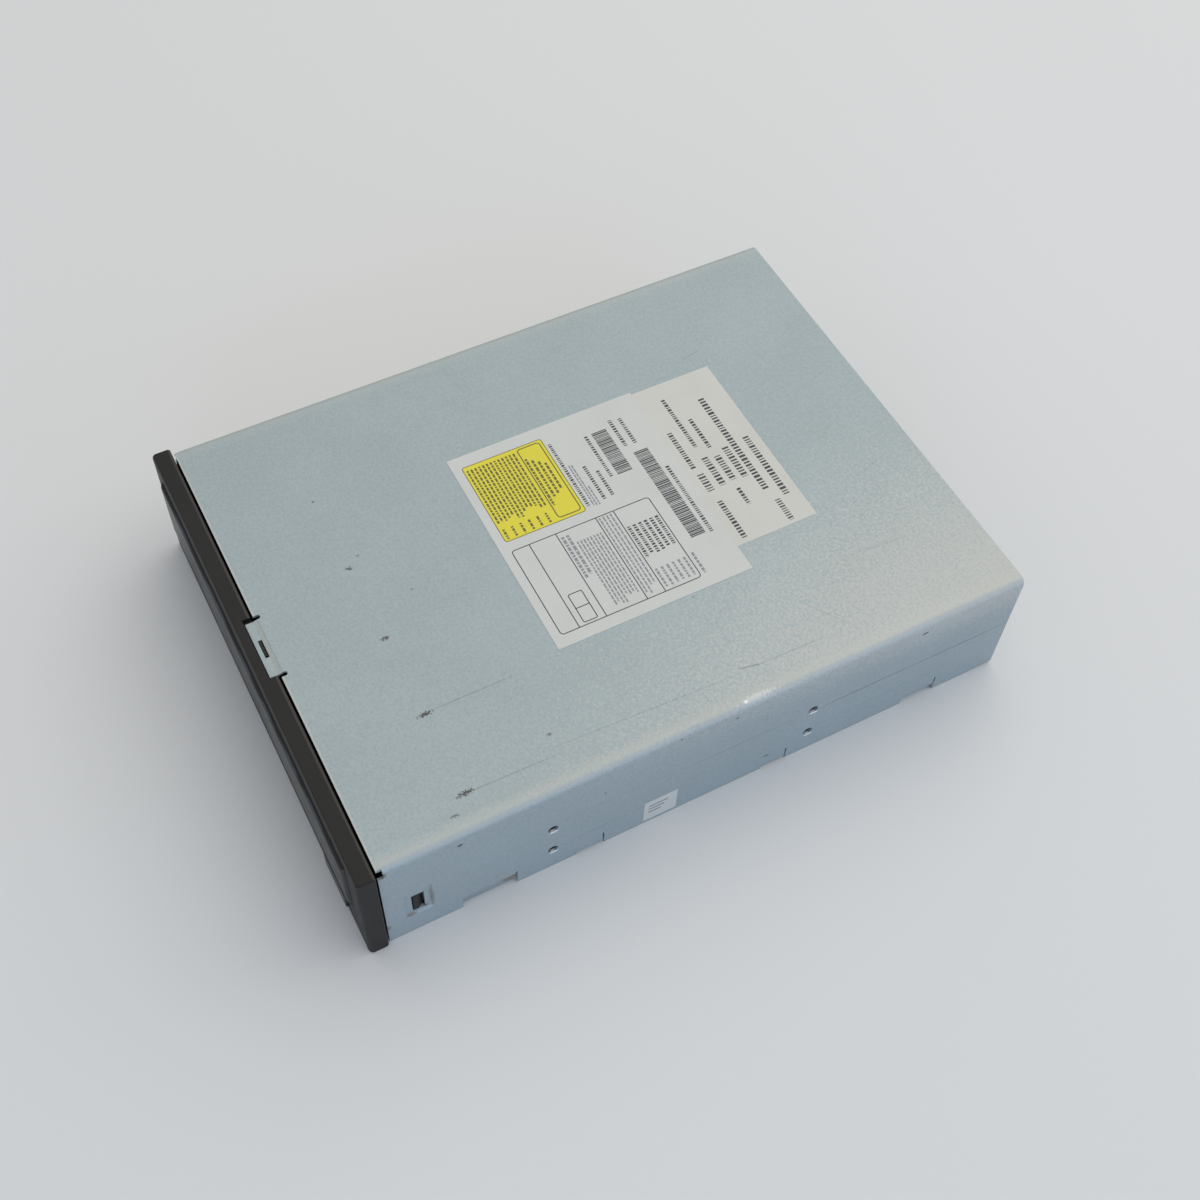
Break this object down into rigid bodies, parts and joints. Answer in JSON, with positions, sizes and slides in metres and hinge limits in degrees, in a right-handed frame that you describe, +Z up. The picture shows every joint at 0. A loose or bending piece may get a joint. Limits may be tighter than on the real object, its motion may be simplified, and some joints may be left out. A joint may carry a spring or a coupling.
{
  "type": "disc drive",
  "caption": "Half-height built-in disc drive: folded steel casing, dark bezel, motorised disc tray with its gear train, swinging chassis and rear connectors.",
  "frame": {"origin": "under the middle of the whole drive, on the plane that it stands on", "axes": "+X to the drive's right as seen from its front, +Y from the front to the rear, +Z up"},
  "size_m": [0.1484, 0.199, 0.0415],
  "materials": {
    "cover_steel": "galvanised sheet, satin",
    "plate_steel": "galvanised sheet, satin",
    "bezel_plastic": "moulded ABS, fine texture",
    "door_plastic": "moulded ABS, satin",
    "button_plastic": "moulded ABS, satin",
    "clear_plastic": "clear acrylic",
    "frame_plastic": "moulded, fine texture",
    "tray_plastic": "moulded, fine texture",
    "gear_plastic": "moulded acetal",
    "pulley_brass": "turned",
    "belt_rubber": "ground rubber",
    "bush_rubber": "moulded rubber",
    "ring_rubber": "moulded rubber",
    "motor_steel": "nickel plated",
    "stator_iron": "laminated iron",
    "chassis_steel": "galvanised sheet",
    "rail_steel": "ground and polished",
    "sled_metal": "die-cast",
    "lens_glass": "coated lens",
    "holder_plastic": "moulded",
    "magnet": "sintered and plated",
    "clamper_plastic": "moulded acetal",
    "board_laminate": "solder-masked laminate",
    "chip_epoxy": "moulded epoxy",
    "capacitor_sleeve": "shrunk sleeve",
    "socket_plastic": "moulded nylon",
    "ide_plastic": "moulded nylon",
    "power_plastic": "moulded nylon",
    "pin_metal": "gold flashed",
    "tinned_metal": "tin plated",
    "jumper_plastic": "moulded",
    "cable_plastic": "laminated film",
    "led_epoxy": "cast epoxy",
    "screw_steel": "zinc plated"
  },
  "bodies": {
    "chassis": {"top_cover": "cover_steel", "bottom_plate": "plate_steel", "front_bezel": "bezel_plastic", "light_pipe": "clear_plastic", "main_frame": "frame_plastic", "clamp_bridge": "chassis_steel", "loading_motor": "motor_steel", "loading_belt": "belt_rubber", "hinge_bushes": "bush_rubber", "front_board": "board_laminate", "eject_switch": "chip_epoxy", "status_led": "led_epoxy", "main_board": "board_laminate", "controller_chip": "chip_epoxy", "driver_chip": "chip_epoxy", "memory_chips": "chip_epoxy", "capacitors": "capacitor_sleeve", "ide_connector": "ide_plastic", "ide_pins": "pin_metal", "power_connector": "power_plastic", "power_pins": "tinned_metal", "audio_connector": "ide_plastic", "audio_pins": "pin_metal", "jumper_block": "ide_plastic", "jumper_pins": "pin_metal", "jumper_cap": "jumper_plastic", "cable_sockets": "socket_plastic", "ribbon_cable": "cable_plastic", "bottom_screws": "screw_steel", "board_screws": "screw_steel", "bridge_screws": "screw_steel", "motor_screws": "screw_steel"},
    "tray": {"tray": "tray_plastic", "tray_front": "door_plastic"},
    "drive_gear": {"drive_gear": "gear_plastic"},
    "pulley_gear": {"pulley_gear": "gear_plastic"},
    "motor_pulley": {"motor_pulley": "pulley_brass"},
    "eject_button": {"eject_button": "button_plastic"},
    "cam_slider": {"cam_slider": "gear_plastic"},
    "traverse": {"traverse_frame": "chassis_steel", "spindle_motor": "stator_iron", "spindle_screws": "screw_steel", "guide_rail_left": "rail_steel", "guide_rail_right": "rail_steel", "sled_motor": "motor_steel"},
    "spindle": {"rotor_can": "motor_steel", "turntable": "holder_plastic", "turntable_ring": "ring_rubber"},
    "lead_screw": {"lead_screw": "rail_steel"},
    "pickup": {"pickup_body": "sled_metal", "lens_cover": "motor_steel", "lead_nut": "gear_plastic"},
    "lens": {"lens_holder": "holder_plastic", "objective_lens": "lens_glass"},
    "clamper": {"clamper": "clamper_plastic", "clamp_magnet": "magnet", "clamper_cap": "motor_steel"}
  },
  "joints": [
    {"name": "tray_slide", "type": "slide", "parent": "chassis", "child": "tray", "axis": [0, -1, 0], "range_m": [0, 0.138]},
    {"name": "drive_gear_spin", "type": "hinge", "parent": "chassis", "child": "drive_gear", "pos_m": [-0.048, -0.0785, 0.012], "axis": [0, 0, 1], "range_deg": [-15, 1000]},
    {"name": "pulley_gear_spin", "type": "hinge", "parent": "chassis", "child": "pulley_gear", "pos_m": [-0.0314, -0.0733, 0.012], "axis": [0, 0, 1], "range_deg": [-2215, 20]},
    {"name": "motor_pulley_spin", "type": "hinge", "parent": "chassis", "child": "motor_pulley", "pos_m": [-0.002, -0.0793, 0.015], "axis": [0, 0, 1], "range_deg": [-8260, 60]},
    {"name": "eject_button_press", "type": "slide", "parent": "chassis", "child": "eject_button", "axis": [0, 1, 0], "range_m": [0, 0.001], "stiffness_N_per_m": 200},
    {"name": "cam_slide", "type": "slide", "parent": "chassis", "child": "cam_slider", "axis": [1, 0, 0], "range_m": [0, 0.015]},
    {"name": "traverse_lift", "type": "hinge", "parent": "chassis", "child": "traverse", "pos_m": [0, 0.0515, 0.0155], "axis": [-1, 0, 0], "range_deg": [-0.2, 5.7]},
    {"name": "spindle_spin", "type": "hinge", "parent": "traverse", "child": "spindle", "pos_m": [0, -0.02657, 0.0125], "axis": [0, -0.0958, 0.9954], "continuous": true},
    {"name": "sled_slide", "type": "slide", "parent": "traverse", "child": "pickup", "axis": [0, 0.9954, 0.0958], "range_m": [0, 0.035]},
    {"name": "lead_screw_spin", "type": "hinge", "parent": "traverse", "child": "lead_screw", "pos_m": [0.0294, 0.01769, 0.01194], "axis": [0, 0.9954, 0.0958], "range_deg": [-20, 4230]},
    {"name": "lens_focus", "type": "slide", "parent": "pickup", "child": "lens", "axis": [0, -0.0958, 0.9954], "range_m": [-0.0006, 0.0006], "stiffness_N_per_m": 40},
    {"name": "clamper_spin", "type": "hinge", "parent": "chassis", "child": "clamper", "pos_m": [0, -0.0265, 0.03], "axis": [0, 0, 1], "continuous": true}
  ],
  "couplings": [
    {"joint": "drive_gear_spin", "follows": "tray_slide", "rad_per_m": 125},
    {"joint": "pulley_gear_spin", "follows": "tray_slide", "rad_per_m": -277.78},
    {"joint": "motor_pulley_spin", "follows": "tray_slide", "rad_per_m": -1037},
    {"joint": "traverse_lift", "follows": "cam_slide", "rad_per_m": 6.3995},
    {"joint": "lead_screw_spin", "follows": "sled_slide", "rad_per_m": 2094.4}
  ]
}
